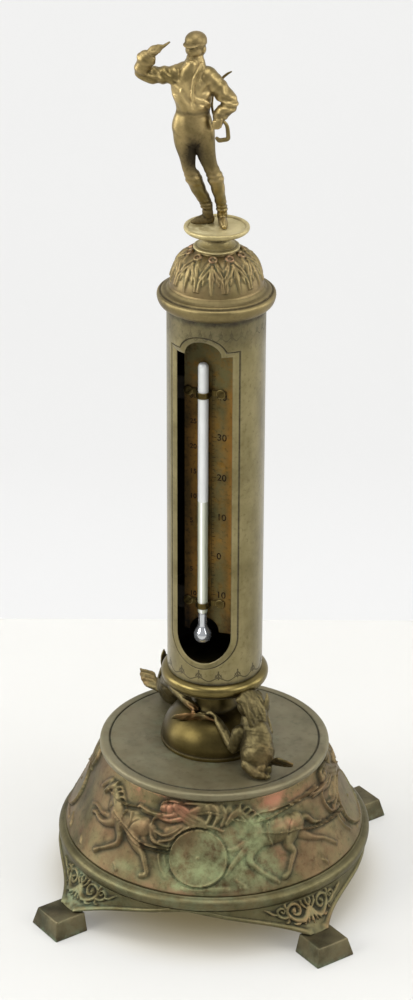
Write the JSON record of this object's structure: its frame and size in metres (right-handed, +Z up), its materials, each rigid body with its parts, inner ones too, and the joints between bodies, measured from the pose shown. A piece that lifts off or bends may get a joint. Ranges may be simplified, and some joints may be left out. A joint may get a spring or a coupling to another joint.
{
  "type": "desk thermometer",
  "caption": "Desk thermometer: a brass column with an arched window over its scale, on a flared base with a chariot frieze and square feet, topped by a figure of a rider",
  "frame": {"origin": "middle of the footprint on the table, on the column's axis", "axes": "+Z up along the column; -Y is the front, where the window looks, turned a little towards -X; the four feet stand on the diagonals"},
  "size_m": [0.1104, 0.1104, 0.3021],
  "materials": {
    "polished_brass": "worn polished cast brass with dark recesses",
    "column_brass": "aged satin brass",
    "scale_brass": "tarnished engraved plate",
    "dark_bronze": "dark patinated bronze",
    "frieze_copper": "coppery patinated bronze with verdigris",
    "opal_glass": "white enamel-backed glass",
    "mercury": "liquid metal in a thin glass bulb",
    "steel": "plain iron fastenings"
  },
  "bodies": {
    "stand": {"front_side_figure": "polished_brass", "back_side_figure": "polished_brass", "column_tube": "column_brass", "column_base_ring": "column_brass", "pedestal_bell": "column_brass", "upper_clip": "column_brass", "lower_clip": "column_brass", "upper_left_scale_screw": "column_brass", "upper_right_scale_screw": "column_brass", "lower_left_scale_screw": "column_brass", "lower_right_scale_screw": "column_brass", "upper_scale_band": "column_brass", "lower_scale_band": "column_brass", "scale_plate": "scale_brass", "glass_stem": "opal_glass", "mercury_bulb": "mercury", "top_disc": "dark_bronze", "base_ring": "dark_bronze", "plinth_frame": "dark_bronze", "front_left_foot": "dark_bronze", "front_right_foot": "dark_bronze", "back_right_foot": "dark_bronze", "back_left_foot": "dark_bronze", "frieze_drum": "frieze_copper", "cross_strap": "steel", "tie_rod": "steel", "rod_washer": "steel", "rod_nut": "steel", "front_side_figure_nut": "steel", "back_side_figure_nut": "steel"},
    "cap": {"domed_cap": "column_brass"},
    "finial": {"jockey_figure": "polished_brass", "riding_whip": "polished_brass", "figure_saucer": "polished_brass", "finial_stud": "steel", "finial_washer": "steel", "finial_nut": "steel"}
  },
  "joints": [
    {"name": "cap_lift", "type": "slide", "parent": "stand", "child": "cap", "axis": [0, 0, 1], "range_m": [0, 0.03]},
    {"name": "finial_turn", "type": "hinge", "parent": "cap", "child": "finial", "pos_m": [0, 0, 0.232], "axis": [0, 0, 1], "continuous": true}
  ]
}
